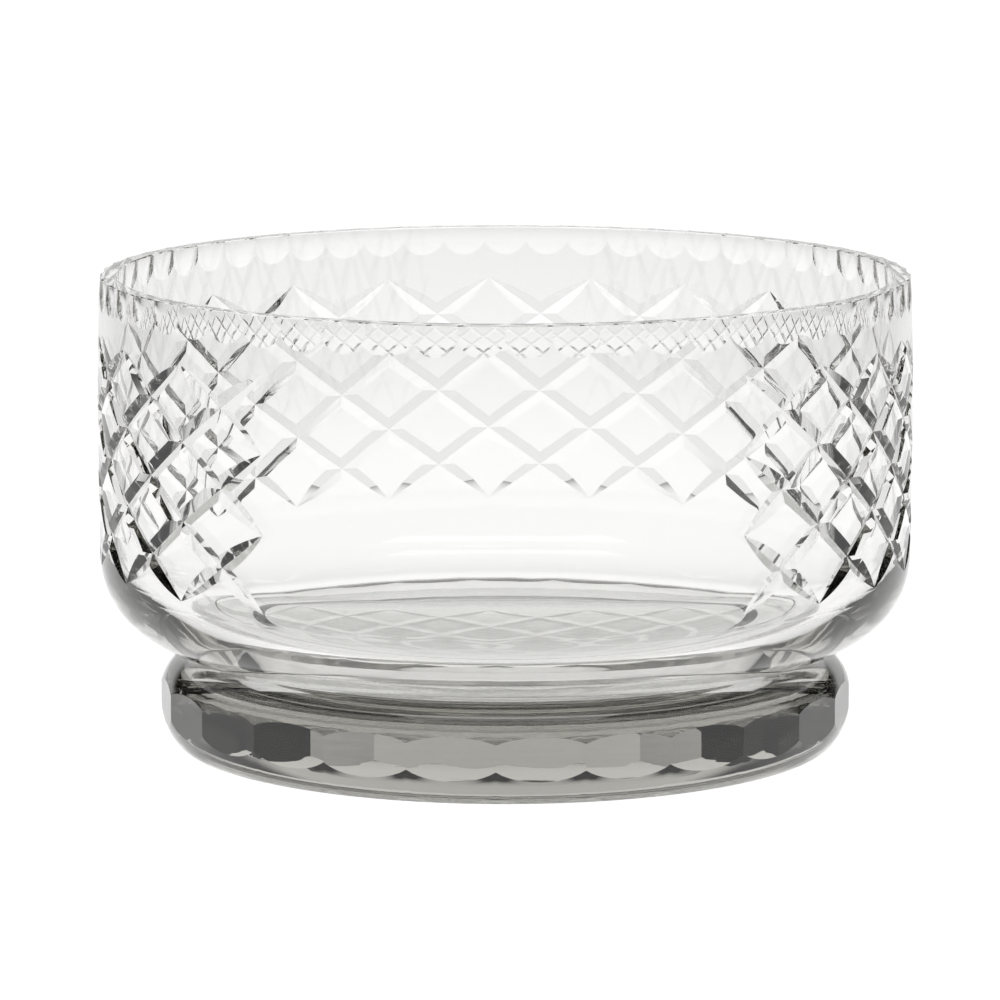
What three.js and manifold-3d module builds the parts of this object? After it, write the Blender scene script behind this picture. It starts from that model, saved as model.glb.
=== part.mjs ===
// A cut-crystal punch bowl: a thick-walled bowl joined to a solid, faceted foot.
//
// Millimetres, +Z up. The origin is the centre of the ring that the foot stands on, and the bowl's
// clear panel faces -Y. The two pieces meet on a flat disc inside the waist, FACE_GAP apart.
import * as THREE from "three";
import { mergeVertices } from "three/addons/utils/BufferGeometryUtils.js";
import Module from "manifold-3d";

const wasm = await Module();
wasm.setup();

// ---- Driving dimensions ----
const BODY_RADIUS = 152.4; // widest outside radius, a 12 in bowl
const HEIGHT = 177; // from the table to the rim
const RIM_THICKNESS = 6.4;
const FACE_GAP = 0.3; // between the bowl's base disc and the foot's top disc
const BOWL_TURNS = 72; // flat faces round the bowl
const FOOT_TURNS = 75; // and round the foot, three to each of its facets

// Bowl, outside
const RIM_RADIUS = BODY_RADIUS - 1.2;
const BELLY_TOP = 146; // the wall is at its widest between these two heights
const BELLY_BOTTOM = 112;
const SHOULDER_RADIUS = BODY_RADIUS - 0.3; // where the wall starts to turn in
const SHOULDER_Z = 74.4;
const BASE_RADIUS = 112; // the disc that sits on the foot
const BASE_Z = 34.8;
const UNDERSIDE_RADIUS = 99; // where the knuckle's curve would run flat
const UNDERSIDE_Z = 35;
const KNUCKLE_POWER = 2.3; // over 2, so the knuckle is squarer than an ellipse

// Bowl, inside
const INNER_RADIUS = RIM_RADIUS - RIM_THICKNESS;
const INNER_SHOULDER_RADIUS = SHOULDER_RADIUS - 5.4;
const INNER_SHOULDER_Z = 78;
const FLOOR_RADIUS = 90;
const FLOOR_Z = 43;
const INNER_POWER = 2.4; // squarer still

// Foot
const FOOT_TOP_Z = BASE_Z - FACE_GAP;
const WAIST_RADIUS = 114;
const FOOT_RADIUS = 130.2;
const FOOT_WIDEST_Z = 19;
const FOOT_SOLE_RADIUS = 121; // outer edge of the ring that the foot stands on
const HEEL_POWER = 1.8; // under 2, so the heel is fuller than a chamfer and flatter than an ellipse
const RECESS_RADIUS = 100; // the hollow ground into the underside
const RECESS_DEPTH = 3;

// Thumb cuts round the rim
const RIM_CUTS = 57;
const RIM_CUT_RADIUS = 36; // of the wheel's rounded edge, across the cut
const RIM_CUT_DEPTH = 1; // at the rim
const RIM_CUT_LENGTH = 11.5; // down the wall

// Facets round the foot
const FOOT_CUTS = 25;
const FOOT_CUT_DEPTH = 1.6; // below the foot's widest radius, at the middle of a facet

// Diamond lattice of V grooves
const PANEL_RIGHT = 33.8; // degrees of plain wall from -Y towards +X
const PANEL_LEFT = 34.5; // and towards -X
const COLUMNS = 38; // half diamonds from one edge of the panel round to the other
const ROWS = 6; // half diamonds from the peaks to the tips
const SPACING_DRIFT = 5.2; // degrees that the columns, spaced by hand, stray towards +X from even spacing
const LATTICE_TOP = 156.3;
const ROW_PITCH = 14.45;
const GROOVE_DEPTH = 1.5;
const GROOVE_HALF_WIDTH = 3.7;
const GROOVE_RUN_OUT = 0.03; // rows that a cutter goes on past the groove's end
const GROOVE_STEPS = 6;

// The angle round the axis of a lattice column, in radians. The drift is nothing at both ends.
function columnAngle(column) {
  const share = 1 - column / COLUMNS;
  const drift = SPACING_DRIFT * Math.sin(Math.PI * share ** 1.3);
  return THREE.MathUtils.degToRad(PANEL_RIGHT - 90 + (360 - PANEL_RIGHT - PANEL_LEFT) * (1 - share) - drift);
}

// ---- Profiles, as (radius, height) ----
const at = (r, z) => new THREE.Vector2(r, z);

// A quarter of a superellipse from `from`, where it runs upright, to `to`, where it runs level.
function knuckle(from, to, power, steps) {
  const points = [];
  for (let i = 0; i <= steps; i++) {
    const t = (i / steps) * (Math.PI / 2);
    const across = Math.cos(t) ** (2 / power);
    const down = Math.sin(t) ** (2 / power);
    points.push(at(to.x + (from.x - to.x) * across, from.y + (to.y - from.y) * down));
  }
  return points;
}

// The bowl's outside from the base disc up to the rim.
function bowlOutside() {
  const turn = knuckle(at(SHOULDER_RADIUS, SHOULDER_Z), at(UNDERSIDE_RADIUS, UNDERSIDE_Z), KNUCKLE_POWER, 8);
  return [
    at(BASE_RADIUS, BASE_Z),
    ...turn.filter((p) => p.x > WAIST_RADIUS).reverse(),
    at(BODY_RADIUS, BELLY_BOTTOM),
    at(BODY_RADIUS, BELLY_TOP),
    at(RIM_RADIUS, HEIGHT),
  ];
}

function bowlInside() {
  const shoulder = at(INNER_SHOULDER_RADIUS, INNER_SHOULDER_Z);
  return [at(INNER_RADIUS, HEIGHT), ...knuckle(shoulder, at(FLOOR_RADIUS, FLOOR_Z), INNER_POWER, 5), at(0, FLOOR_Z)];
}

// The foot's outside from the standing ring up to the top disc.
function footOutside() {
  const widest = at(FOOT_RADIUS, FOOT_WIDEST_Z);
  const heel = knuckle(widest, at(FOOT_SOLE_RADIUS, 0), HEEL_POWER, 5);
  const shoulder = knuckle(widest, at(WAIST_RADIUS, FOOT_TOP_Z - 1), 2, 5);
  return [...heel.reverse(), ...shoulder.slice(1), at(BASE_RADIUS, FOOT_TOP_Z)];
}

// The bowl's outer radius at a height on its upright wall.
function wallRadius(z) {
  const outline = bowlOutside();
  const above = outline.findIndex((p) => p.y >= z);
  const [low, high] = [outline[above - 1], outline[above]];
  return THREE.MathUtils.mapLinear(z, low.y, high.y, low.x, high.x);
}

// ---- Solids ----
function turned(profile, turns) {
  return solidOf(new THREE.LatheGeometry(profile, turns).rotateX(Math.PI / 2));
}

function solidOf(geometry) {
  const bare = geometry.index ? geometry.toNonIndexed() : geometry.clone();
  bare.deleteAttribute("normal");
  bare.deleteAttribute("uv");
  const merged = mergeVertices(bare, 1e-3);
  const vertProperties = merged.attributes.position.array;
  return new wasm.Manifold(new wasm.Mesh({ numProp: 3, vertProperties, triVerts: new Uint32Array(merged.index.array) }));
}

function geometryOf(solid) {
  const mesh = solid.getMesh();
  return new THREE.BufferGeometry()
    .setAttribute("position", new THREE.BufferAttribute(mesh.vertProperties, 3))
    .setIndex(new THREE.BufferAttribute(mesh.triVerts, 1));
}

// The same cut repeated round the axis.
function cutRound(body, cutter, count, firstAngle) {
  for (let i = 0; i < count; i++) {
    const angle = firstAngle + (2 * Math.PI * i) / count;
    body = body.subtract(solidOf(cutter.clone().rotateZ(angle)));
  }
  return body;
}

// The path of a V groove's bottom edge. It starts at a lattice point, gains one column per row in the
// direction `side`, and rises out of the glass over the first and the last row.
class GroovePath extends THREE.Curve {
  constructor(column, firstRow, lastRow, side) {
    super();
    Object.assign(this, { column, firstRow, lastRow, side });
  }
  getPoint(t, target = new THREE.Vector3()) {
    const row = THREE.MathUtils.lerp(this.firstRow - GROOVE_RUN_OUT, this.lastRow + GROOVE_RUN_OUT, t);
    const fromEnd = Math.min(row - this.firstRow, this.lastRow - row);
    const lift = Math.max(1 - fromEnd, 0);
    const column = THREE.MathUtils.clamp(this.column + this.side * (row - this.firstRow), 0, COLUMNS);
    const angle = columnAngle(column);
    const z = LATTICE_TOP - row * ROW_PITCH;
    return target.setFromCylindricalCoords(wallRadius(z) - GROOVE_DEPTH * (1 - lift * lift), angle + Math.PI / 2, 0)
      .applyAxisAngle(new THREE.Vector3(1, 0, 0), Math.PI / 2)
      .setZ(z);
  }
  // Keeps the groove square to the wall, where a free frame would roll as it goes round.
  computeFrenetFrames(segments) {
    const frames = { tangents: [], normals: [], binormals: [] };
    for (let i = 0; i <= segments; i++) {
      const point = this.getPointAt(i / segments);
      const tangent = this.getTangentAt(i / segments);
      const binormal = new THREE.Vector3().crossVectors(tangent, point.setZ(0)).normalize();
      frames.tangents.push(tangent);
      frames.binormals.push(binormal);
      frames.normals.push(new THREE.Vector3().crossVectors(binormal, tangent));
    }
    return frames;
  }
}

function grooveCutter(path) {
  const outside = 1; // the cutter stands this far out of the glass
  const open = GROOVE_DEPTH + outside;
  const spread = (open * GROOVE_HALF_WIDTH) / GROOVE_DEPTH;
  const section = new THREE.Shape([at(0, 0), at(open, spread), at(open, -spread)]);
  return new THREE.ExtrudeGeometry(section, { steps: GROOVE_STEPS, extrudePath: path });
}

// Every groove of one direction: those that start on the peaks and those that start on the panel's edge.
function groovePaths(side) {
  const paths = [];
  const edge = side > 0 ? 0 : COLUMNS;
  for (let steps = 2 - ROWS; steps < COLUMNS; steps += 2) {
    const firstRow = Math.max(-steps, 0);
    const lastRow = Math.min(ROWS, COLUMNS - steps);
    paths.push(new GroovePath(edge + side * Math.max(steps, 0), firstRow, lastRow, side));
  }
  return paths;
}

// ---- Pieces ----
function makeBowl() {
  let bowl = turned([at(0, BASE_Z), ...bowlOutside(), ...bowlInside()], BOWL_TURNS);
  for (const path of [...groovePaths(1), ...groovePaths(-1)]) {
    bowl = bowl.subtract(solidOf(grooveCutter(path)));
  }
  const lean = Math.atan(RIM_CUT_DEPTH / RIM_CUT_LENGTH);
  const cutter = new THREE.CylinderGeometry(RIM_CUT_RADIUS, RIM_CUT_RADIUS, 3 * RIM_CUT_LENGTH, 48)
    .rotateX(Math.PI / 2)
    .translate(RIM_CUT_RADIUS, 0, 0)
    .rotateY(-lean)
    .translate(RIM_RADIUS - RIM_CUT_DEPTH, 0, HEIGHT);
  return cutRound(bowl, cutter, RIM_CUTS, Math.PI / RIM_CUTS - Math.PI / 2);
}

function makeFoot() {
  const recess = [at(0, RECESS_DEPTH), at(RECESS_RADIUS - 2 * RECESS_DEPTH, RECESS_DEPTH), at(RECESS_RADIUS, 0)];
  const foot = turned([...recess, ...footOutside(), at(0, FOOT_TOP_Z)], FOOT_TURNS);
  const width = (2.2 * Math.PI * FOOT_RADIUS) / FOOT_CUTS;
  const cutter = new THREE.BoxGeometry(FOOT_RADIUS, width, HEIGHT)
    .translate(1.5 * FOOT_RADIUS - FOOT_CUT_DEPTH, 0, FOOT_WIDEST_Z);
  return cutRound(foot, cutter, FOOT_CUTS, Math.PI / FOOT_CUTS - Math.PI / 2);
}

function piece(name, solid) {
  const crystal = new THREE.MeshStandardMaterial({ color: 0xf4f6f6, roughness: 0.02, metalness: 0 });
  crystal.transparent = true;
  crystal.opacity = 0.35;
  const mesh = new THREE.Mesh(geometryOf(solid), crystal);
  mesh.name = name;
  return mesh;
}

const punchBowl = new THREE.Group();
punchBowl.add(piece("bowl", makeBowl()));
punchBowl.add(piece("foot", makeFoot()));

export default punchBowl;
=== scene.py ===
"""A cut-crystal punch bowl and its faceted foot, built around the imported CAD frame.

Each piece is a closed surface computed with numpy. The bowl's wall is a turned shape, and the diamond
lattice is cut into it as V grooves: every groove side, every diamond left between the grooves and every
thumb cut is a patch of its own, whose borders run along the cut's real edges, so the edges stay sharp.
"""

import math

import bmesh
import bpy
import numpy as np
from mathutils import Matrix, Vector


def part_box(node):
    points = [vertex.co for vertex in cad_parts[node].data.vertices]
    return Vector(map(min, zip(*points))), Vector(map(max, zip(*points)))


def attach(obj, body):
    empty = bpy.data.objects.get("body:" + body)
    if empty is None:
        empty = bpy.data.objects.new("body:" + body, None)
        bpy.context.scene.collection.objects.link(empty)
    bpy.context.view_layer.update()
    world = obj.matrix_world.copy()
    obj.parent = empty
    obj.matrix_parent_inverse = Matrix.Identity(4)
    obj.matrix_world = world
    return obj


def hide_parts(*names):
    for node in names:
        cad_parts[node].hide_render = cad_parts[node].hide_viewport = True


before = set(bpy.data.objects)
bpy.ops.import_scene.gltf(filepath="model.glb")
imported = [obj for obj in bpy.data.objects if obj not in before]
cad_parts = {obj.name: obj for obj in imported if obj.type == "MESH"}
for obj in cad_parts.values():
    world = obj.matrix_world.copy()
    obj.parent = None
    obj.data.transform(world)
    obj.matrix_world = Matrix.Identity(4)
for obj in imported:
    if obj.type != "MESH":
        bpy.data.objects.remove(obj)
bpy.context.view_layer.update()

bl_info = {
    "name": "Cut-Crystal Punch Bowl",
    "version": (1, 0, 0),
    "blender": (4, 5, 0),
    "location": "View3D > Sidebar > Punch Bowl",
    "description": "Builds a cut-crystal punch bowl, its foot and a plain studio around the CAD frame",
    "category": "Add Mesh",
}

MM = 0.001
BOWL_LOW, BOWL_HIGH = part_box("bowl")
FOOT_TOP_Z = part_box("foot")[1].z
FRONT = -math.pi / 2  # the direction of -Y, which the clear panel faces


# ---- Properties ----
def length(name, description, default):
    """A length in metres that the sidebar shows in the scene's units."""
    return bpy.props.FloatProperty(
        name=name, description=description, default=default, min=0.0, unit="LENGTH", precision=4
    )


def angle(name, description, degrees):
    """An angle that is given here in degrees."""
    default = math.radians(degrees)
    return bpy.props.FloatProperty(
        name=name, description=description, default=default, subtype="ANGLE", unit="ROTATION"
    )


def amount(name, description, default, most=10.0):
    """A plain number from 0 up to `most`."""
    return bpy.props.FloatProperty(name=name, description=description, default=default, min=0.0, max=most)


def colour(name, description, default):
    """A colour, as linear red, green and blue."""
    return bpy.props.FloatVectorProperty(
        name=name, description=description, default=default, min=0.0, max=1.0, subtype="COLOR"
    )


class BowlProperties(bpy.types.PropertyGroup):
    body_radius: length("Body Radius", "Widest outside radius", BOWL_HIGH.x)
    rim_z: length("Rim Height", "Height of the rim above the table", BOWL_HIGH.z)
    base_z: length("Base Height", "Height of the disc that sits on the foot", BOWL_LOW.z)
    rim_taper: length("Rim Taper", "How far the wall draws in at the rim", 1.2 * MM)
    rim_thickness: length("Rim Thickness", "Thickness of the glass at the rim", 6.4 * MM)
    belly_thickness: length("Belly Thickness", "Thickness of the glass at the belly", 5.4 * MM)
    belly_z: length("Belly Height", "Height where the wall is widest", 130 * MM)
    shoulder_z: length("Shoulder Height", "Height where the wall starts to turn in", 74.4 * MM)
    shoulder_taper: length("Shoulder Taper", "How far the wall draws in by the shoulder", 0.3 * MM)
    underside_radius: length("Underside Radius", "Radius where the knuckle's curve runs level", 99 * MM)
    underside_z: length("Underside Height", "Height where the knuckle's curve runs level", 35 * MM)
    neck_radius: length("Neck Radius", "Radius of the waist between bowl and foot", 112.3 * MM)
    inner_shoulder_z: length("Inner Shoulder", "Height where the inside starts to turn in", 78 * MM)
    floor_radius: length("Floor Radius", "Radius of the level part of the floor", 90 * MM)
    floor_z: length("Floor Height", "Height of the inside's lowest point", 43 * MM)


class CutProperties(bpy.types.PropertyGroup):
    panel_start: angle("Panel Start", "Right edge of the clear panel, from its middle", 33.8)
    panel_end: angle("Panel End", "Left edge of the clear panel, from its middle", 34.5)
    lattice_top: length("Lattice Top", "Height of the lattice's peaks", 156.3 * MM)
    row_pitch: length("Row Pitch", "Height of half a diamond", 14.45 * MM)
    drift: angle("Spacing Drift", "How far the hand-spaced columns stray from even spacing", 5.2)
    groove_depth: length("Groove Depth", "Depth of a V groove", 1.46 * MM)
    groove_share: bpy.props.FloatProperty(
        name="Groove Share", description="Half width of a groove, as a share of a half diamond",
        default=0.315, min=0.05, max=0.9, subtype="FACTOR",
    )
    thumb_count: bpy.props.IntProperty(
        name="Thumb Cuts", description="Cuts round the rim", default=57, min=3
    )
    thumb_radius: length("Thumb Cut Radius", "Radius of a thumb cut's outline on the wall", 9.0 * MM)
    thumb_drop: length("Thumb Cut Drop", "How far a thumb cut's middle is below the rim", 2.5 * MM)
    thumb_depth: length("Thumb Cut Depth", "Depth of a thumb cut at its middle", 0.95 * MM)


class FootProperties(bpy.types.PropertyGroup):
    widest_radius: length("Widest Radius", "Widest outside radius of the foot", 130.2 * MM)
    widest_z: length("Widest Height", "Height where the foot is widest", 19 * MM)
    top_z: length("Top Height", "Height of the disc that carries the bowl", FOOT_TOP_Z)
    waist_radius: length("Waist Radius", "Radius where the shoulder runs level", 114 * MM)
    sole_radius: length("Sole Radius", "Outer edge of the ring that the foot stands on", 121 * MM)
    recess_radius: length("Recess Radius", "Inner edge of the ring that the foot stands on", 100 * MM)
    recess_depth: length("Recess Depth", "Height of the hollow ground into the underside", 3 * MM)
    facet_count: bpy.props.IntProperty(
        name="Facets", description="Facets round the foot", default=25, min=3
    )
    facet_depth: length("Facet Depth", "Depth of a facet at the foot's widest height", 1.6 * MM)
    facet_phase: angle("Facet Phase", "Direction of the first ridge, from the panel's middle", -1.5)


class CrystalProperties(bpy.types.PropertyGroup):
    bowl_tint: colour("Bowl Tint", "Tint of the bowl's surface", (0.985, 0.985, 0.98))
    foot_tint: colour("Foot Tint", "Tint of the foot's surface", (0.98, 0.98, 0.975))
    body_colour: colour("Body Colour", "Colour that very thick glass turns to", (0.72, 0.715, 0.69))
    bowl_body: amount("Bowl Body", "How strongly the bowl's thickness colours it", 10.0, 100.0)
    foot_body: amount("Foot Body", "How strongly the foot's thickness colours it", 12.0, 100.0)
    bowl_ripple: length("Bowl Ripple", "Height of the ripples in the bowl's polish", 0.02 * MM)
    foot_ripple: length("Foot Ripple", "Height of the ripples in the foot's polish", 0.03 * MM)
    refraction: amount("Refraction", "Index of refraction of lead crystal", 1.545)


class StageProperties(bpy.types.PropertyGroup):
    camera_distance: length("Camera Distance", "Camera's level distance from the axis", 2.271)
    camera_height: length("Camera Height", "Camera's height above the table", 0.4618)
    camera_pitch: angle("Camera Pitch", "How far the camera looks down", 9.279)
    camera_yaw: angle("Camera Yaw", "How far the camera looks to the left", 0.05)
    camera_lens: bpy.props.FloatProperty(
        name="Lens", description="Focal length", default=220.5, unit="CAMERA"
    )
    floor_size: length("Floor Size", "Side of the square floor", 12.0)
    floor_light: amount("Floor Light", "Brightness of the lit floor under the bowl", 1.08)
    floor_dim: amount("Floor Dim", "Brightness of the lit floor at the end of its reach", 0.35)
    floor_reach: length("Floor Reach", "Distance over which the lit floor dims", 4.5)
    floor_half_width: length("Lit Half Width", "Distance to each side where the floor is dimming", 1.1)
    side_dim: amount("Side Dim", "Brightness left far out at the sides, as a share", 0.25)
    shade_radius: length("Shade Radius", "Radius of the shade that the foot throws under itself", 0.112)
    shade_light: amount("Shade Light", "Brightness left in that shade", 0.8)
    paper_light: amount("Paper Light", "Brightness of the white paper round the set", 0.9)
    paper_top: angle("Paper Top", "Height of the paper's upper edge, from the bowl", -6)
    paper_sweep: angle("Paper Sweep", "How much higher the paper reaches behind the bowl", 16)
    paper_fade: angle("Paper Fade", "Height over which the paper fades into the room", 10)
    room_light: amount("Room Light", "Brightness of the room above the paper", 0.01)
    softbox_power: bpy.props.FloatProperty(
        name="Softbox Power", description="Power of the lamp overhead", default=5.0, min=0.0, unit="POWER"
    )


class PunchBowlProperties(bpy.types.PropertyGroup):
    bowl: bpy.props.PointerProperty(type=BowlProperties)
    cuts: bpy.props.PointerProperty(type=CutProperties)
    foot: bpy.props.PointerProperty(type=FootProperties)
    crystal: bpy.props.PointerProperty(type=CrystalProperties)
    stage: bpy.props.PointerProperty(type=StageProperties)


# ---- Surfaces ----
class Surface:
    """Patches of one piece, gathered as whole arrays and welded into one closed mesh at the end."""

    WELD = 0.002 * MM  # points closer than this become one
    SHARP = math.radians(6)
    DISC_ROWS = 6
    DISC_REACH = 0.9  # share of the way to the centre that a disc's rings go

    def __init__(self):
        self.points, self.quads, self.triangles = [], [], []
        self.quad_marks, self.triangle_marks = [], []
        self.count = 0

    def add_patches(self, grids, cut=0.0):
        """Adds one grid of points, shaped (rows, columns, 3), or many, each with a face in every cell."""
        grids = np.asarray(grids).reshape((-1,) + np.shape(grids)[-3:])
        patches, rows, columns, _ = grids.shape
        index = self.count + np.arange(patches * rows * columns).reshape(patches, rows, columns)
        corners = (index[:, :-1, :-1], index[:, :-1, 1:], index[:, 1:, 1:], index[:, 1:, :-1])
        self._keep(grids, self.quads, self.quad_marks, np.stack(corners, -1).reshape(-1, 4), cut)

    def add_ring_join(self, upper, lower):
        """Joins two rings of points that have different spacing, by a strip of triangles.

        Every edge of either ring is the base of one triangle. Its apex is the point of the other ring
        that comes last before the edge's middle, by angle round the axis.
        """
        rings = []
        for ring in (upper, lower):
            turn = np.mod(np.arctan2(ring[:, 1], ring[:, 0]), 2 * math.pi)
            order = np.argsort(turn)
            rings.append((ring[order], turn[order]))
        middles = [(t + np.append(t[1:], t[0] + 2 * math.pi)) / 2 for _, t in rings]
        sizes = [len(t) for _, t in rings]
        starts = (self.count, self.count + sizes[0])
        faces = []
        for own, other in ((0, 1), (1, 0)):
            base = np.arange(sizes[own])
            apex = np.searchsorted(middles[other], middles[own], side="left" if own == 0 else "right")
            apex = apex % sizes[other]
            ends = (starts[own] + base, starts[own] + (base + 1) % sizes[own], starts[other] + apex)
            faces.append(np.stack(ends, -1))
        points = np.concatenate([ring for ring, _ in rings])
        self._keep(points, self.triangles, self.triangle_marks, np.concatenate(faces))

    def add_disc(self, edge, z):
        """Closes an edge with a flat disc at height z: rings of faces, then a fan of triangles."""
        centre = np.array([0, 0, z])
        inwards = np.linspace(0, self.DISC_REACH, self.DISC_ROWS + 1)[:, None, None]
        rings = blend(edge[None], centre, inwards)
        self.add_patches(rings)
        ring = rings[-1][:-1]
        base = self.count + np.arange(len(ring))
        faces = np.stack((base, np.roll(base, -1), np.full(len(ring), self.count + len(ring))), -1)
        self._keep(np.vstack((ring, centre)), self.triangles, self.triangle_marks, faces)

    def _keep(self, points, store, marks, faces, cut=0.0):
        """Stores points and their faces, each face marked 1 where it lies in a cut and 0 elsewhere."""
        points = np.asarray(points).reshape(-1, 3)
        self.points.append(points)
        self.count += len(points)
        store.append(faces)
        marks.append(np.full(len(faces), cut))

    def to_object(self, name):
        """Welds the patches and turns the faces out. Edges that turn by more than SHARP stay sharp."""
        mesh = bpy.data.meshes.new(name)
        faces = [f for part in self.quads + self.triangles for f in part.tolist()]
        mesh.from_pydata(np.concatenate(self.points).tolist(), [], faces)
        marks = np.concatenate(self.quad_marks + self.triangle_marks)
        mesh.attributes.new("cut", "FLOAT", "FACE").data.foreach_set("value", marks.astype(np.float32))
        work = bmesh.new()
        work.from_mesh(mesh)
        bmesh.ops.remove_doubles(work, verts=work.verts, dist=self.WELD)
        bmesh.ops.dissolve_degenerate(work, edges=work.edges, dist=self.WELD)
        bmesh.ops.recalc_face_normals(work, faces=work.faces)
        open_edges = sum(not e.is_manifold for e in work.edges)
        work.to_mesh(mesh)
        work.free()
        if open_edges:
            raise RuntimeError(f"{name} has {open_edges} edges that don't join two faces")
        mesh.shade_smooth()
        mesh.set_sharp_from_angle(angle=self.SHARP)
        obj = bpy.data.objects.new(name, mesh)
        bpy.context.scene.collection.objects.link(obj)
        return obj


def blend(a, b, t):
    """The points a share t of the way from a to b."""
    return a + (b - a) * t


def on_axis(radius, turn, z):
    """Points from radius, angle round the axis and height, which may differ in shape."""
    radius, turn, z = np.broadcast_arrays(radius, turn, z)
    return np.stack((radius * np.cos(turn), radius * np.sin(turn), z), -1)


def squircle(down, power):
    """How far a quarter superellipse has still to go inwards at a share `down` of its way down."""
    return np.maximum(1 - np.clip(down, 0, 1) ** power, 0) ** (1 / power)


def squircle_path(count, power):
    """Shares down a quarter superellipse that crowd where it turns: sin(t) to the power 2 / power."""
    t = np.linspace(0, math.pi / 2, count)
    return np.sin(t) ** (2 / power)


def turned_rows(radii, heights, columns):
    """A surface of revolution as one grid, with a ring of that many columns for each radius."""
    turn = np.linspace(0, 2 * math.pi, columns + 1)
    turn[-1] = 0
    return on_axis(np.asarray(radii)[:, None], turn[None, :], np.asarray(heights)[:, None])


# ---- The bowl's own curves ----
KNUCKLE_POWER = 2.3  # of the superellipses: 2 is an ellipse, and more is squarer
INNER_POWER = 2.4


def wall_radius(bowl, z):
    """The bowl's outside radius at height z.

    Above and below the belly the wall draws in as a parabola. From the shoulder down it follows a
    quarter superellipse that would run level at the underside.
    """
    rise = np.clip((z - bowl.belly_z) / (bowl.rim_z - bowl.belly_z), 0, 1)
    fall = np.clip((bowl.belly_z - z) / (bowl.belly_z - bowl.shoulder_z), 0, 1)
    wall = bowl.body_radius - bowl.rim_taper * rise**2 - bowl.shoulder_taper * fall**2
    shoulder = bowl.body_radius - bowl.shoulder_taper
    down = (bowl.shoulder_z - z) / (bowl.shoulder_z - bowl.underside_z)
    turn = blend(bowl.underside_radius, shoulder, squircle(down, KNUCKLE_POWER))
    return np.where(z < bowl.shoulder_z, turn, wall)


def inner_profile(bowl, steps):
    """Radii and heights of the inside, from the rim's inner edge down to the floor's level part.

    The wall thins smoothly from the rim to the belly, then turns in as a quarter superellipse.
    """
    upright = np.linspace(bowl.rim_z, bowl.inner_shoulder_z, steps)
    down = np.clip((bowl.rim_z - upright) / (bowl.rim_z - bowl.inner_shoulder_z), 0, 1)
    ease = down * down * (3 - 2 * down)
    radii = wall_radius(bowl, upright) - blend(bowl.rim_thickness, bowl.belly_thickness, ease)
    deeper = squircle_path(steps, INNER_POWER)[1:]
    turn_radii = blend(bowl.floor_radius, radii[-1], squircle(deeper, INNER_POWER))
    turn_heights = blend(bowl.inner_shoulder_z, bowl.floor_z, deeper)
    return np.append(radii, turn_radii), np.append(upright, turn_heights)


# ---- The diamond lattice ----
COLUMNS = 38  # half diamonds round the lattice, from the panel's right edge to its left edge
ROWS = 6  # half diamonds from the peaks down to the tips
SEGMENT_STEPS = 12  # along a groove between two crossings
SIDE_STEPS = 2  # across one side of a groove
PANEL_COLUMNS = 108
STRIP_ROWS = 4
STRIP_REACH = 0.3  # how far the plain strips go above and below the lattice, in half diamonds
DRIFT_POWER = 1.3  # over 1, so the columns stray most a little before the middle of the back
HAND_SHIFT = 0.010  # the cutter's error in placing a crossing, in half diamonds
HAND_DEPTH = 0.05  # and in a groove's depth and reach, as a share of it
HAND_SEED = 7


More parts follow.
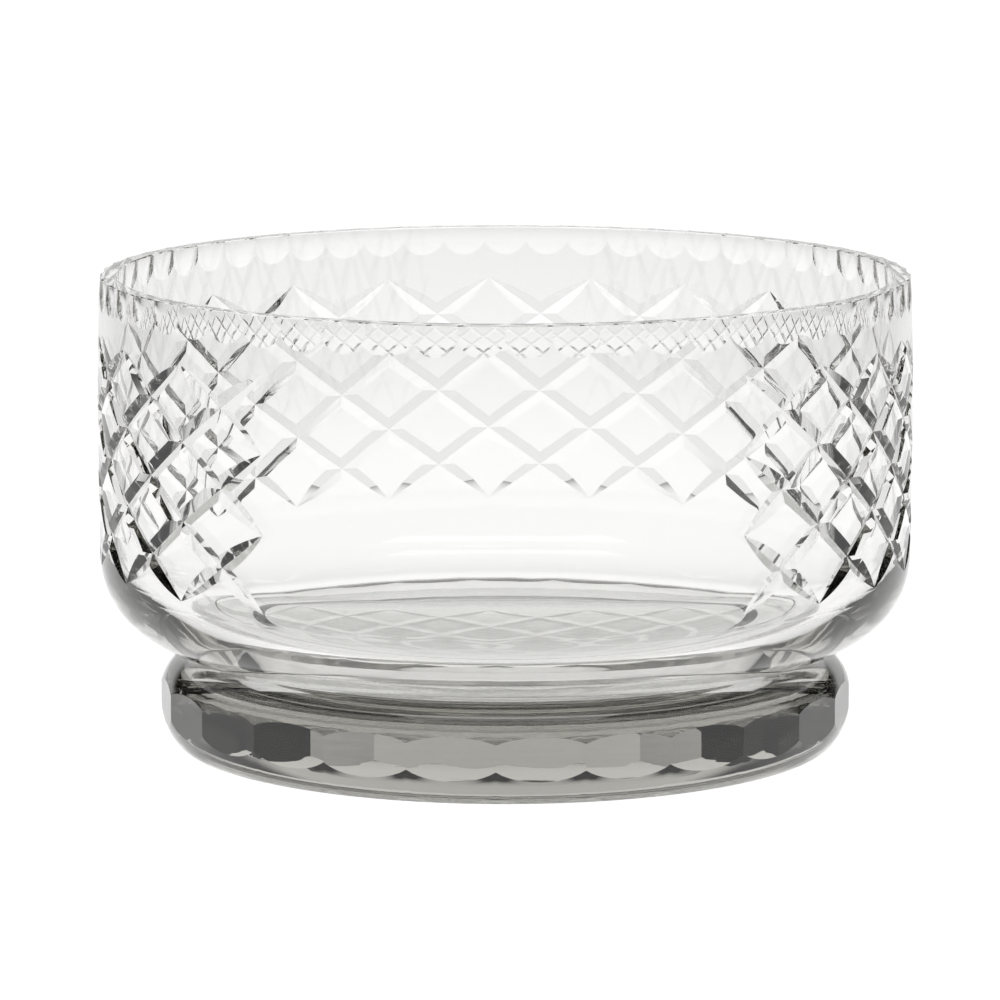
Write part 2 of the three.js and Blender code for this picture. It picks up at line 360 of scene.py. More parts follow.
class Lattice:
    """The cut lattice in its own coordinates: c half diamonds round, w half diamonds down, and depth.

    Grooves cross, or end, at every (c, w) whose sum is even. They end on the border, where the wheel
    lifts out of the glass along a parabola, so the last stretch of a groove narrows to a point.
    """

    def __init__(self, bowl, cuts):
        self.bowl, self.cuts = bowl, cuts
        self.start = FRONT + cuts.panel_start
        self.span = 2 * math.pi - cuts.panel_start - cuts.panel_end
        self.half = cuts.groove_share
        draw = np.random.default_rng(HAND_SEED)
        grid = np.stack(np.meshgrid(np.arange(COLUMNS + 1), np.arange(ROWS + 1), indexing="ij"), -1)
        self.inside = (grid[..., 0] % COLUMNS != 0) & (grid[..., 1] % ROWS != 0)
        shift = draw.uniform(-HAND_SHIFT, HAND_SHIFT, grid.shape)
        self.nodes = grid + shift
        self.depths = cuts.groove_depth * (1 + draw.uniform(-HAND_DEPTH, HAND_DEPTH, grid.shape[:2]))
        self.reach = self.half * (1 + draw.uniform(-HAND_DEPTH, HAND_DEPTH, grid.shape[:2] + (4,)))

    def turn(self, c):
        """Angle round the axis of column c. Past the last column it runs evenly across the panel."""
        c = np.mod(c, COLUMNS + self.panel_units)
        drift = self.cuts.drift * np.sin(math.pi * (1 - np.clip(c / COLUMNS, 0, 1)) ** DRIFT_POWER)
        return self.start + c / COLUMNS * self.span - drift

    @property
    def panel_units(self):
        """The panel's width in half diamonds of the even spacing."""
        return COLUMNS * (2 * math.pi - self.span) / self.span

    def place(self, cw, depth=0.0):
        """Points in space for lattice points: on the wall at that angle and height, less the depth."""
        z = self.cuts.lattice_top - cw[..., 1] * self.cuts.row_pitch
        return on_axis(wall_radius(self.bowl, z) - depth, self.turn(cw[..., 0]), z)

    def corner(self, c, w, side):
        """Where two grooves' edges meet beside a crossing: 0 above, 1 right, 2 below, 3 left."""
        away = np.array([(0, -1), (1, 0), (0, 1), (-1, 0)])[side]
        reach = np.where(self.inside[c, w], self.reach[c, w, side], 0.0)
        return self.nodes[c, w] + away * reach[..., None]

    def edge(self, a, b, side_a, side_b):
        """One edge of the groove between crossings a and b, as (segments, steps + 1, 2).

        A straight line between the two corners. Where an end is on the border, the edge bulges from
        that line by the parabola's share, s (1 - s) of the half width.
        """
        first, last = self.corner(*a, side_a), self.corner(*b, side_b)
        s = np.linspace(0, 1, SEGMENT_STEPS + 1)[None, :, None]
        line = blend(first[:, None], last[:, None], s)
        along = self.nodes[b] - self.nodes[a]
        side = np.stack((-along[:, 1], along[:, 0]), -1) / 2
        toward = (last - self.nodes[b]) + (first - self.nodes[a])
        side *= np.sign(np.sum(side * toward, -1))[:, None] * self.half
        bordered = ~(self.inside[a] & self.inside[b])
        return line + side[:, None] * (s * (1 - s)) * bordered[:, None, None]

    def bottom(self, a, b):
        """The bottom line of the groove between crossings a and b, and its depth along the line."""
        s = np.linspace(0, 1, SEGMENT_STEPS + 1)[None, :]
        line = blend(self.nodes[a][:, None], self.nodes[b][:, None], s[..., None])
        depth = blend(self.depths[a][:, None], self.depths[b][:, None], s)
        full = 1 - self.half / 2  # how far in from the border, in segments, the wheel is at full depth
        for end, t in ((a, s), (b, 1 - s)):
            lift = 1 - np.clip(t / full, 0, 1)
            depth = np.where(self.inside[end][:, None], depth, depth * (1 - lift**2))
        return line, depth

    def segments(self, falling):
        """The crossings at both ends of every groove segment that falls to the right, or to the left."""
        c, w = np.meshgrid(np.arange(COLUMNS), np.arange(ROWS), indexing="ij")
        kept = (c + w) % 2 == (0 if falling else 1)
        c, w = c[kept], w[kept]
        return ((c, w), (c + 1, w + 1)) if falling else ((c + 1, w), (c, w + 1))


UPPER_SIDES = {True: (1, 0), False: (3, 0)}  # corners that bound a segment's upper edge, by falling
LOWER_SIDES = {True: (2, 3), False: (2, 1)}  # and its lower edge


def add_grooves(surface, lattice):
    """Both sides of every groove: a ruled strip from the bottom line out to each edge."""
    v = np.linspace(0, 1, SIDE_STEPS + 1)[None, :, None, None]
    for falling in (True, False):
        a, b = lattice.segments(falling)
        line, depth = lattice.bottom(a, b)
        for sides in (UPPER_SIDES[falling], LOWER_SIDES[falling]):
            edge = lattice.edge(a, b, *sides)
            cw = blend(line[:, None], edge[:, None], v)
            surface.add_patches(lattice.place(cw, depth[:, None] * (1 - v[..., 0])), cut=1.0)


def add_diamonds(surface, lattice):
    """Every diamond left between the grooves: a grid stretched between its four edges.

    A point is the two across blends plus the two down blends, less the blend of the four corners.
    """
    c, w = np.meshgrid(np.arange(1, COLUMNS), np.arange(1, ROWS), indexing="ij")
    kept = (c + w) % 2 == 1
    c, w = c[kept], w[kept]
    top, right, bottom, left = (c, w - 1), (c + 1, w), (c, w + 1), (c - 1, w)
    top_right = lattice.edge(top, right, *LOWER_SIDES[True])
    top_left = lattice.edge(top, left, *LOWER_SIDES[False])
    left_bottom = lattice.edge(left, bottom, *UPPER_SIDES[True])
    right_bottom = lattice.edge(right, bottom, *UPPER_SIDES[False])
    s = np.linspace(0, 1, SEGMENT_STEPS + 1)
    u, v = s[None, None, :, None], s[None, :, None, None]
    across = blend(top_left[:, :, None], right_bottom[:, :, None], u)
    down = blend(top_right[:, None], left_bottom[:, None], v)
    upper = blend(top_right[:, :1], top_right[:, -1:], s[None, :, None])[:, None]
    lower = blend(left_bottom[:, :1], left_bottom[:, -1:], s[None, :, None])[:, None]
    surface.add_patches(lattice.place(across + down - blend(upper, lower, v)))


def border(lattice, segments):
    """One zigzag along the lattice's border, from its segments: ends, sides and whether it runs back."""
    run = []
    for a, b, sides, backwards in segments:
        a, b = tuple(np.array([n]) for n in a), tuple(np.array([n]) for n in b)
        edge = lattice.edge(a, b, *sides)[0]
        run.append(edge[::-1] if backwards else edge)
    return np.concatenate([run[0]] + [edge[1:] for edge in run[1:]])


def top_border(lattice):
    """Along the lattice's peaks, from its first column to its last."""
    segments = []
    for c in range(0, COLUMNS, 2):
        segments.append(((c, 0), (c + 1, 1), UPPER_SIDES[True], False))
        segments.append(((c + 2, 0), (c + 1, 1), UPPER_SIDES[False], True))
    return border(lattice, segments)


def bottom_border(lattice):
    """Along the lattice's tips, from its first column to its last."""
    segments = []
    for c in range(0, COLUMNS, 2):
        segments.append(((c + 1, ROWS - 1), (c, ROWS), LOWER_SIDES[False], True))
        segments.append(((c + 1, ROWS - 1), (c + 2, ROWS), LOWER_SIDES[True], False))
    return border(lattice, segments)


def right_border(lattice):
    """Down the lattice's first column, which is the panel's right edge."""
    segments = []
    for w in range(0, ROWS, 2):
        segments.append(((0, w), (1, w + 1), LOWER_SIDES[True], False))
        segments.append(((1, w + 1), (0, w + 2), UPPER_SIDES[False], False))
    return border(lattice, segments)


def left_border(lattice):
    """Down the lattice's last column, which is the panel's left edge."""
    segments = []
    for w in range(0, ROWS, 2):
        segments.append(((COLUMNS, w), (COLUMNS - 1, w + 1), LOWER_SIDES[False], False))
        segments.append(((COLUMNS - 1, w + 1), (COLUMNS, w + 2), UPPER_SIDES[True], False))
    return border(lattice, segments)


def add_panel(surface, lattice):
    """The clear panel, and the plain strips above and below the lattice. Returns their outer rings."""
    whole = np.array([COLUMNS + lattice.panel_units, 0.0])
    left, right = left_border(lattice), right_border(lattice) + whole
    u = np.linspace(0, 1, PANEL_COLUMNS + 1)[None, :, None]
    panel = blend(left[:, None], right[:, None], u)
    surface.add_patches(lattice.place(panel))
    rings = []
    above = (top_border(lattice), panel[0], -STRIP_REACH)
    below = (bottom_border(lattice), panel[-1], ROWS + STRIP_REACH)
    v = np.linspace(0, 1, STRIP_ROWS + 1)[:, None, None]
    for zigzag, edge, level in (above, below):
        line = np.concatenate((zigzag, edge[1:]))
        straight = np.stack((line[:, 0], np.full(len(line), level)), -1)
        surface.add_patches(lattice.place(blend(line[None], straight[None], v)))
        rings.append(lattice.place(straight[:-1]))
    return rings


# ---- The rim ----
THUMB_STEPS = 12  # across a thumb cut
SCOOP_ROWS = 7
PLAIN_ROWS = 2
PLAIN_REACH = 2 * MM  # of plain wall below the cuts, down to the ring that the lattice joins
RIM_BEVEL = 0.35 * MM


def add_thumb_cuts(surface, bowl, cuts):
    """The thumb cuts and the plain wall just below them. Returns the rim's outer ring and the lowest ring.

    A cut's outline on the wall is a circle, and its depth falls from the middle as the square of the
    distance. Columns crowd towards the ridges between cuts, where the outline is steep.
    """
    pitch = 2 * math.pi / cuts.thumb_count
    step = np.arange(THUMB_STEPS * cuts.thumb_count + 1)
    cut, part = np.divmod(step, THUMB_STEPS)
    across = -np.cos(math.pi * part / THUMB_STEPS)
    turn = FRONT + (cut + (across + 1) / 2) * pitch
    x = across * pitch / 2 * bowl.body_radius
    ridge = cuts.thumb_drop + np.sqrt(np.maximum(cuts.thumb_radius**2 - x**2, 0))
    low = PLAIN_REACH + cuts.thumb_drop + cuts.thumb_radius

    def rows(drops):
        """Rings of points on the scooped wall, at these distances below the rim."""
        away = (x**2 + (drops - cuts.thumb_drop) ** 2) / cuts.thumb_radius**2
        depth = cuts.thumb_depth * np.maximum(1 - away, 0)
        z = bowl.rim_z - drops
        return on_axis(wall_radius(bowl, z) - depth, turn, z)

    scooped = rows(blend(RIM_BEVEL, ridge[None], np.linspace(0, 1, SCOOP_ROWS + 1)[:, None]))
    plain = rows(blend(ridge[None], low, np.linspace(0, 1, PLAIN_ROWS + 1)[:, None]))
    surface.add_patches(scooped, cut=1.0)
    surface.add_patches(plain)
    return scooped[0], plain[-1][:-1]


# ---- The bowl ----
BOWL_COLUMNS = 360
RIM_ROWS = 2
INSIDE_ROWS = 26  # down the inner wall, and again round its turn into the floor
KNUCKLE_ROWS = 34
NECK_ROWS = 6
NECK_REACH = 1.2 * MM  # how far in the neck curves between the knuckle and the waist
NECK_SHARE = 0.6  # of the height between the knuckle and the seat that this curve takes up
CONTACT = 0.05 * MM  # bowl and foot each pass the CAD gap's middle by this, so no film of air is left


def add_inside(surface, bowl, edge):
    """The flat rim between its two bevels, the inner wall and the floor, from the rim's outer ring."""
    outward = edge[:, :2] / np.linalg.norm(edge[:, :2], axis=1)[:, None]
    top = np.full(len(edge), bowl.rim_z)
    lip = np.column_stack((edge[:, :2] - outward * RIM_BEVEL, top))
    surface.add_patches(np.stack((edge, lip)))
    radii, heights = inner_profile(bowl, INSIDE_ROWS)
    inner_lip = np.column_stack((outward * (radii[0] + RIM_BEVEL), top))
    surface.add_patches(blend(lip[None], inner_lip[None], np.linspace(0, 1, RIM_ROWS + 1)[:, None, None]))
    heights[0] -= RIM_BEVEL
    inside = turned_rows(radii, heights, BOWL_COLUMNS)
    surface.add_patches(inside)
    surface.add_ring_join(inner_lip[:-1], inside[0][:-1])
    surface.add_disc(inside[-1], bowl.floor_z)


def add_underside(surface, bowl, ring):
    """The knuckle, the neck under it and the disc that sits on the foot, from a ring on the wall.

    The knuckle is the part of its quarter superellipse between the ring and the neck. The neck is a
    quarter ellipse that runs on inwards and down to the waist.
    """
    shoulder = bowl.body_radius - bowl.shoulder_taper
    down = (bowl.shoulder_z - ring[0, 2]) / (bowl.shoulder_z - bowl.underside_z)
    out = (bowl.neck_radius + NECK_REACH - bowl.underside_radius) / (shoulder - bowl.underside_radius)
    start, end = math.asin(down ** (KNUCKLE_POWER / 2)), math.acos(out ** (KNUCKLE_POWER / 2))
    t = np.linspace(start, end, KNUCKLE_ROWS)
    knuckle_r = blend(bowl.underside_radius, shoulder, np.cos(t) ** (2 / KNUCKLE_POWER))
    knuckle_z = blend(bowl.shoulder_z, bowl.underside_z, np.sin(t) ** (2 / KNUCKLE_POWER))
    seat_z = (bowl.base_z + FOOT_TOP_Z) / 2 - CONTACT
    t = np.linspace(0, math.pi / 2, NECK_ROWS + 1)[1:]
    neck_r = knuckle_r[-1] - NECK_REACH * np.sin(t)
    neck_z = knuckle_z[-1] - NECK_SHARE * (knuckle_z[-1] - seat_z) * (1 - np.cos(t))
    radii = np.concatenate((knuckle_r, neck_r, [bowl.neck_radius]))
    heights = np.concatenate((knuckle_z, neck_z, [seat_z]))
    under = turned_rows(radii, heights, BOWL_COLUMNS)
    surface.add_patches(under)
    surface.add_ring_join(ring, under[0][:-1])
    surface.add_disc(under[-1], seat_z)


def make_bowl(bowl, cuts):
    """The whole bowl: the lattice and the panel first, then what lies above and below them."""
    surface = Surface()
    lattice = Lattice(bowl, cuts)
    add_grooves(surface, lattice)
    add_diamonds(surface, lattice)
    upper_ring, lower_ring = add_panel(surface, lattice)
    edge, thumb_ring = add_thumb_cuts(surface, bowl, cuts)
    surface.add_ring_join(thumb_ring, upper_ring)
    add_inside(surface, bowl, edge)
    add_underside(surface, bowl, lower_ring)
    return surface.to_object("crystal_bowl")


# ---- The foot ----
FOOT_COLUMNS = 14  # to a facet
HEEL_POWER = 1.8  # of the superellipse under the foot's widest height
SHOULDER_POWER = 2.0  # and of the one above it
HEEL_ROWS = 11
FACET_ROWS = 6
SHOULDER_ROWS = 15
COLLAR_ROWS = 3
BISECTIONS = 40


def foot_radius(foot, z):
    """The foot's turned outside at height z: one quarter superellipse below its widest, one above."""
    fall = squircle((foot.widest_z - z) / foot.widest_z, HEEL_POWER)
    rise = squircle((z - foot.widest_z) / (foot.top_z - foot.widest_z), SHOULDER_POWER)
    below = blend(foot.sole_radius, foot.widest_radius, fall)
    above = blend(foot.waist_radius, foot.widest_radius, rise)
    return np.where(z < foot.widest_z, below, above)


def facet_radius(foot, away):
    """Radius of an upright facet at angle `away` from its middle: its nearest reach over the cosine."""
    return (foot.widest_radius - foot.facet_depth) / np.cos(away)


def facet_limit(foot, away, far):
    """The height where the facet's plane leaves the turned outside, between its widest and `far`."""
    inside, outside = np.full_like(away, foot.widest_z), np.full_like(away, far)
    for _ in range(BISECTIONS):
        middle = (inside + outside) / 2
        cut = facet_radius(foot, away) < foot_radius(foot, middle)
        inside, outside = np.where(cut, middle, inside), np.where(cut, outside, middle)
    return (inside + outside) / 2


def make_foot(foot, bowl):
    """The whole foot. Every column of points runs from the sole's edge over its facet up to the seat."""
    surface = Surface()
    pitch = 2 * math.pi / foot.facet_count
    columns = foot.facet_count * FOOT_COLUMNS
    step = np.arange(columns + 1) % columns
    turn = FRONT + foot.facet_phase + step * pitch / FOOT_COLUMNS
    away = (step % FOOT_COLUMNS) / FOOT_COLUMNS * pitch - pitch / 2
    low, high = facet_limit(foot, away, 0.0), facet_limit(foot, away, foot.top_z)

    t = np.linspace(0, math.pi / 2, HEEL_ROWS + 1)[:, None]
    heel = blend(0.0, low[None], 1 - np.cos(t))
    surface.add_patches(on_axis(foot_radius(foot, heel), turn, heel))
    facet = blend(low[None], high[None], np.linspace(0, 1, FACET_ROWS + 1)[:, None])
    surface.add_patches(on_axis(facet_radius(foot, away), turn, facet), cut=1.0)
    t = np.linspace(0, math.pi / 2, SHOULDER_ROWS + 1)[:, None]
    shoulder = blend(high[None], foot.top_z, np.sin(t))
    surface.add_patches(on_axis(foot_radius(foot, shoulder), turn, shoulder))

    seat_z = (foot.top_z + BOWL_LOW.z) / 2 + CONTACT
    collar = on_axis(foot.waist_radius, turn, foot.top_z)
    seat = on_axis(bowl.neck_radius, turn, seat_z)
    surface.add_patches(blend(collar[None], seat[None], np.linspace(0, 1, COLLAR_ROWS + 1)[:, None, None]))
    surface.add_disc(seat, seat_z)

    sole = on_axis(foot.sole_radius, turn, 0.0)
    rim = on_axis(foot.recess_radius, turn, 0.0)
    slope = on_axis(foot.recess_radius - 2 * foot.recess_depth, turn, foot.recess_depth)
    surface.add_patches(np.stack((sole, rim)))
    surface.add_patches(np.stack((rim, slope)))
    surface.add_disc(slope, foot.recess_depth)
    return surface.to_object("crystal_foot")


# ---- Materials ----
WHITE = (1.0, 1.0, 1.0, 1.0)
OPAL = (0.6, 0.6, 0.6, 1.0)
OPAL_ROUGHNESS = 0.7
CLOUD_SCALE = 9.0
CLOUD_LIFT = 0.01  # how much paler the tint gets in its cloudy patches
WIPED = (0.55, 0.8)  # the noise values where a wiped patch starts and is full
SHADE_BLUR = 10 * MM  # width of the edge of the shade under the foot
SIDE_FALL = (0.2, 3.0)  # where the floor's sides start and stop dimming, in squared half widths


def new_group(name, inputs, output):
    """An empty shader node group with inputs, each as (name, default, low, high), and one output value."""
    group = bpy.data.node_groups.new(name, "ShaderNodeTree")
    for socket_name, default, low, high in inputs:
        socket = group.interface.new_socket(name=socket_name, in_out="INPUT", socket_type="NodeSocketFloat")
        socket.default_value, socket.min_value, socket.max_value = default, low, high
    group.interface.new_socket(name=output, in_out="OUTPUT", socket_type="NodeSocketFloat")
    return group, group.nodes.new("NodeGroupInput").outputs, group.nodes.new("NodeGroupOutput").inputs


def add_node(tree, kind, links=(), **settings):
    """A node with its settings and its inputs, each input a plain value or another node's socket."""
    node = tree.nodes.new(kind)
    for key, value in settings.items():
        setattr(node, key, value)
    for key, value in dict(links).items():
        if isinstance(value, bpy.types.NodeSocket):
            tree.links.new(value, node.inputs[key])
        else:
            node.inputs[key].default_value = value
    return node


def combine(tree, operation, first, second):
    """One step of arithmetic on two values, each a number or another node's socket."""
    return add_node(tree, "ShaderNodeMath", {0: first, 1: second}, operation=operation).outputs[0]


def add_noise(tree, place, scale, detail):
    """Soft random patches, from 0 to 1."""
    links = {"Vector": place, "Scale": scale, "Detail": detail}
    return add_node(tree, "ShaderNodeTexNoise", links).outputs["Fac"]


def polish_group():
    """Slow ripples that fire-polishing leaves, and finer ones that the polishing wheel leaves in cuts."""
    inputs = (
        ("Ripple Scale", 60.0, 1.0, 500.0),
        ("Wheel Scale", 260.0, 1.0, 2000.0),
        ("Wheel Share", 0.08, 0.0, 1.0),
    )
    group, entry, leave = new_group("Crystal Polish", inputs, "Height")
    place = add_node(group, "ShaderNodeTexCoord").outputs["Object"]
    cut = add_node(group, "ShaderNodeAttribute", attribute_name="cut").outputs["Fac"]
    slow = add_noise(group, place, entry["Ripple Scale"], 1.0)
    fine = add_noise(group, place, entry["Wheel Scale"], 2.0)
    wheel = combine(group, "MULTIPLY", fine, combine(group, "MULTIPLY", cut, entry["Wheel Share"]))
    group.links.new(combine(group, "ADD", slow, wheel), leave["Height"])


def wear_group():
    """A faint haze: more in the cut faces, and patches of it where the glass has been wiped and handled."""
    inputs = (
        ("Clear", 0.0, 0.0, 1.0),
        ("Cut Haze", 0.02, 0.0, 1.0),
        ("Wipe Haze", 0.01, 0.0, 1.0),
        ("Patch Scale", 14.0, 1.0, 200.0),
    )
    group, entry, leave = new_group("Crystal Wear", inputs, "Roughness")
    place = add_node(group, "ShaderNodeTexCoord").outputs["Object"]
    cut = add_node(group, "ShaderNodeAttribute", attribute_name="cut").outputs["Fac"]
    patch = add_noise(group, place, entry["Patch Scale"], 3.0)
    links = {"Value": patch, "From Min": WIPED[0], "From Max": WIPED[1]}
    patches = add_node(group, "ShaderNodeMapRange", links).outputs[0]
    wiped = combine(group, "MULTIPLY", patches, entry["Wipe Haze"])
    hazed = combine(group, "MULTIPLY", cut, entry["Cut Haze"])
    both = combine(group, "ADD", wiped, hazed)
    group.links.new(combine(group, "ADD", both, entry["Clear"]), leave["Roughness"])


def crystal_material(name, tint, ripple, body, crystal):
    """Clear lead crystal: refracting glass with faint ripples and haze, greyer the thicker it is."""
    material = bpy.data.materials.new(name)
    material.use_nodes = True
    tree = material.node_tree
    tree.nodes.clear()
    polish = add_node(tree, "ShaderNodeGroup", node_tree=bpy.data.node_groups["Crystal Polish"])
    wear = add_node(tree, "ShaderNodeGroup", node_tree=bpy.data.node_groups["Crystal Wear"])
    links = {"Strength": 1.0, "Distance": ripple, "Height": polish.outputs["Height"]}
    bump = add_node(tree, "ShaderNodeBump", links)
    place = add_node(tree, "ShaderNodeTexCoord").outputs["Object"]
    cloud = add_noise(tree, place, CLOUD_SCALE, 2.0)
    tinted = add_node(tree, "ShaderNodeMix", {"Factor": cloud}, data_type="RGBA")
    tinted.inputs["A"].default_value = (*tint, 1.0)
    tinted.inputs["B"].default_value = (*[min(1.0, c + CLOUD_LIFT) for c in tint], 1.0)
    links = {
        "Base Color": tinted.outputs["Result"],
        "Roughness": wear.outputs["Roughness"],
        "Normal": bump.outputs["Normal"],
        "IOR": crystal.refraction,
        "Transmission Weight": 1.0,
        "Metallic": 0.0,
    }
    shader = add_node(tree, "ShaderNodeBsdfPrincipled", links)
    links = {"Color": (*crystal.body_colour, 1.0), "Density": body}
    inner = add_node(tree, "ShaderNodeVolumeAbsorption", links)
    ends = {"Surface": shader.outputs["BSDF"], "Volume": inner.outputs["Volume"]}
    add_node(tree, "ShaderNodeOutputMaterial", ends)


def floor_material(stage):
    """A pale opal sheet lit from below: brightest round the bowl, shaded under it and dimmer at the sides.

    The picture itself sees it evenly white, so that it has no edge.
    """
    material = bpy.data.materials.new("Studio Floor")
    material.use_nodes = True
    tree = material.node_tree
    place = add_node(tree, "ShaderNodeTexCoord").outputs["Object"]
    out = add_node(tree, "ShaderNodeVectorMath", {0: place}, operation="LENGTH").outputs["Value"]
    links = {
        "Value": out,
        "From Max": stage.floor_reach,
        "To Min": stage.floor_light,
        "To Max": stage.floor_dim,
    }
    light = add_node(tree, "ShaderNodeMapRange", links).outputs[0]
    links = {
        "Value": out,
        "From Min": stage.shade_radius,
        "From Max": stage.shade_radius + SHADE_BLUR,
        "To Min": stage.shade_light,
    }
    shade = add_node(tree, "ShaderNodeMapRange", links).outputs[0]
    across = add_node(tree, "ShaderNodeSeparateXYZ", {"Vector": place}).outputs["X"]
    widths = combine(tree, "DIVIDE", across, stage.floor_half_width)
    links = {
        "Value": combine(tree, "MULTIPLY", widths, widths),
        "From Min": SIDE_FALL[0],
        "From Max": SIDE_FALL[1],
        "To Min": 1.0,
        "To Max": stage.side_dim,
    }
    side = add_node(tree, "ShaderNodeMapRange", links, interpolation_type="SMOOTHERSTEP").outputs[0]
    shaded = combine(tree, "MULTIPLY", combine(tree, "MULTIPLY", light, side), shade)
    seen = add_node(tree, "ShaderNodeLightPath").outputs["Is Camera Ray"]
    shader = tree.nodes["Principled BSDF"]
    shader.inputs["Base Color"].default_value = OPAL
    shader.inputs["Roughness"].default_value = OPAL_ROUGHNESS
    shader.inputs["Emission Color"].default_value = WHITE
    tree.links.new(combine(tree, "MAXIMUM", shaded, seen), shader.inputs["Emission Strength"])
    return material


# ---- Stage ----
LIGHT_BOUNCES = 40  # light is reflected many times inside thick glass before it leaves
FLOOR_DROP = 0.2 * MM  # the floor lies this far under the foot, so that the two don't share a plane
SENSOR_WIDTH = 36.0
CLIP = (0.05, 50.0)
SOFTBOX_PLACE = (0.0, 0.3, 2.2)
SOFTBOX_SIZE = (1.3, 0.7)
SWEEP = (0.75, 0.97)  # how straight back a ray points where the paper starts to rise and where it is up


def make_softbox(stage):
    """A rectangular lamp high over the bowl, turned to face the origin."""
    data = bpy.data.lights.new("overhead_softbox", "AREA")
    data.shape = "RECTANGLE"
    data.size, data.size_y = SOFTBOX_SIZE
    data.energy = stage.softbox_power
    lamp = bpy.data.objects.new("overhead_softbox", data)
    lamp.location = SOFTBOX_PLACE
    x, y, z = SOFTBOX_PLACE
    lamp.rotation_euler = (math.pi / 2 + math.atan2(-z, math.hypot(x, y)), 0, math.atan2(x, -y))
    bpy.context.scene.collection.objects.link(lamp)


def make_camera(stage):
    """The camera, far out in front of the clear panel and higher than the rim, turned a little down."""
    data = bpy.data.cameras.new("studio_camera")
    data.lens, data.sensor_width = stage.camera_lens, SENSOR_WIDTH
    data.clip_start, data.clip_end = CLIP
    camera = bpy.data.objects.new("studio_camera", data)
    camera.location = (0.0, -stage.camera_distance, stage.camera_height)
    camera.rotation_euler = (math.pi / 2 - stage.camera_pitch, 0, stage.camera_yaw)
    bpy.context.scene.collection.objects.link(camera)
    bpy.context.scene.camera = camera


def make_floor(stage):
    """One large square, just under the foot."""
    half = stage.floor_size / 2
    corners = [(x * half, y * half, -FLOOR_DROP) for x, y in ((-1, -1), (1, -1), (1, 1), (-1, 1))]
    mesh = bpy.data.meshes.new("studio_floor")
    mesh.from_pydata(corners, [], [(0, 1, 2, 3)])
    floor = bpy.data.objects.new("studio_floor", mesh)
    floor.data.materials.append(floor_material(stage))
    bpy.context.scene.collection.objects.link(floor)


def make_world(stage):
    """White paper low down all round, which sweeps up behind the bowl, and the dim room above it.

    The picture itself sees plain white there, as it does on the floor.
    """
    world = bpy.data.worlds.new("Studio Air")
    world.use_nodes = True
    tree = world.node_tree
    tree.nodes.clear()
    way = add_node(tree, "ShaderNodeTexCoord").outputs["Generated"]
    parts = add_node(tree, "ShaderNodeSeparateXYZ", {"Vector": way}).outputs
    links = {
        "Value": parts["Y"],
        "From Min": SWEEP[0],
        "From Max": SWEEP[1],
        "To Max": math.sin(stage.paper_sweep),
    }
    sweep = add_node(tree, "ShaderNodeMapRange", links, interpolation_type="SMOOTHSTEP").outputs[0]
    links = {
        "Value": combine(tree, "SUBTRACT", parts["Z"], sweep),
        "From Min": math.sin(stage.paper_top),
        "From Max": math.sin(stage.paper_top + stage.paper_fade),
        "To Min": stage.paper_light,
        "To Max": stage.room_light,
    }
    light = add_node(tree, "ShaderNodeMapRange", links, interpolation_type="SMOOTHSTEP").outputs[0]
    seen = add_node(tree, "ShaderNodeLightPath").outputs["Is Camera Ray"]
    links = {"Color": WHITE, "Strength": combine(tree, "MAXIMUM", light, seen)}
    back = add_node(tree, "ShaderNodeBackground", links)
    add_node(tree, "ShaderNodeOutputWorld", {"Surface": back.outputs["Background"]})
    bpy.context.scene.world = world


# ---- Operators ----
def all_settings(context):
    """Everything that the sidebar's panel lists."""
    return context.scene.punch_bowl


class PUNCHBOWL_OT_materials(bpy.types.Operator):
    """Build the shader groups and the crystal finishes"""

    bl_idname = "punch_bowl.materials"
    bl_label = "Crystal Finishes"

    def execute(self, context):
        polish_group()
        wear_group()
        crystal = all_settings(context).crystal
        crystal_material("Bowl Crystal", crystal.bowl_tint, crystal.bowl_ripple, crystal.bowl_body, crystal)
        crystal_material("Foot Crystal", crystal.foot_tint, crystal.foot_ripple, crystal.foot_body, crystal)
        return {"FINISHED"}


class PUNCHBOWL_OT_bowl(bpy.types.Operator):
    """Build the cut bowl, hang it under the root body and hide its CAD solid"""

    bl_idname = "punch_bowl.bowl"
    bl_label = "Cut Bowl"

    def execute(self, context):
        piece = make_bowl(all_settings(context).bowl, all_settings(context).cuts)
        piece.data.materials.append(bpy.data.materials["Bowl Crystal"])
        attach(piece, "root")
        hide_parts("bowl")
        return {"FINISHED"}


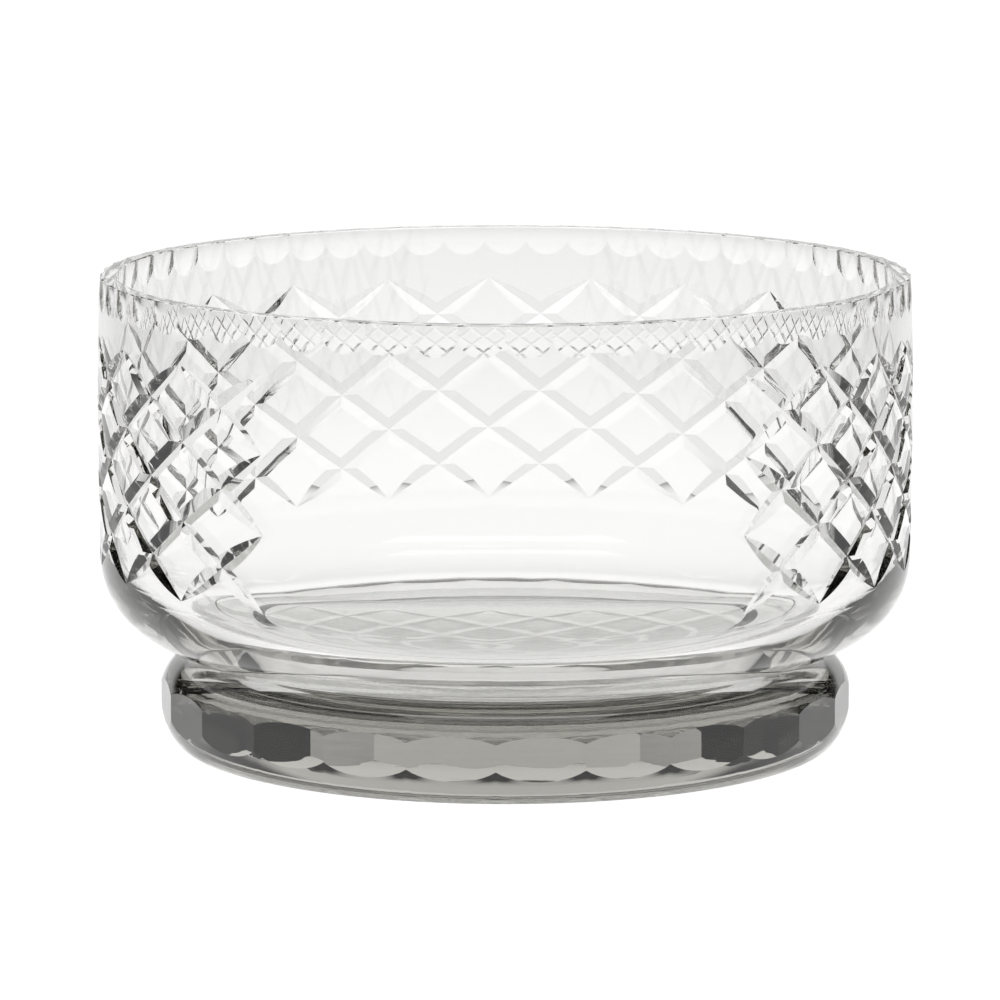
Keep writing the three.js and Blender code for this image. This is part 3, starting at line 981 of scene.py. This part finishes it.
class PUNCHBOWL_OT_foot(bpy.types.Operator):
    """Build the faceted foot, hang it under the root body and hide its CAD solid"""

    bl_idname = "punch_bowl.foot"
    bl_label = "Faceted Foot"

    def execute(self, context):
        piece = make_foot(all_settings(context).foot, all_settings(context).bowl)
        piece.data.materials.append(bpy.data.materials["Foot Crystal"])
        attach(piece, "root")
        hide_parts("foot")
        return {"FINISHED"}


class PUNCHBOWL_OT_stage(bpy.types.Operator):
    """Build the floor, the surroundings, the camera and the lamp"""

    bl_idname = "punch_bowl.stage"
    bl_label = "Studio"

    def execute(self, context):
        stage = all_settings(context).stage
        make_floor(stage)
        make_world(stage)
        make_camera(stage)
        make_softbox(stage)
        context.scene.view_settings.view_transform = "Standard"
        cycles = context.scene.cycles
        cycles.max_bounces = cycles.glossy_bounces = cycles.transmission_bounces = LIGHT_BOUNCES
        return {"FINISHED"}


class PUNCHBOWL_PT_panel(bpy.types.Panel):
    """Lists the pieces of the punch bowl and their sizes"""

    bl_idname = "PUNCHBOWL_PT_panel"
    bl_label = "Punch Bowl"
    bl_space_type = "VIEW_3D"
    bl_region_type = "UI"
    bl_category = "Punch Bowl"

    def draw(self, context):
        for group in ("bowl", "cuts", "foot", "crystal", "stage"):
            box = self.layout.box()
            values = getattr(all_settings(context), group)
            for name in values.bl_rna.properties.keys():
                if name not in ("rna_type", "name"):
                    box.prop(values, name)
        for operator in OPERATORS:
            self.layout.operator(operator.bl_idname)


OPERATORS = (PUNCHBOWL_OT_materials, PUNCHBOWL_OT_bowl, PUNCHBOWL_OT_foot, PUNCHBOWL_OT_stage)
GROUPS = (
    BowlProperties, CutProperties, FootProperties, CrystalProperties, StageProperties, PunchBowlProperties
)


def register():
    for cls in GROUPS + OPERATORS + (PUNCHBOWL_PT_panel,):
        bpy.utils.register_class(cls)
    bpy.types.Scene.punch_bowl = bpy.props.PointerProperty(type=PunchBowlProperties)


def unregister():
    del bpy.types.Scene.punch_bowl
    for cls in reversed(GROUPS + OPERATORS + (PUNCHBOWL_PT_panel,)):
        bpy.utils.unregister_class(cls)


def main():
    register()
    bpy.ops.punch_bowl.materials()
    bpy.ops.punch_bowl.bowl()
    bpy.ops.punch_bowl.foot()
    bpy.ops.punch_bowl.stage()


if __name__ == "__main__":
    main()
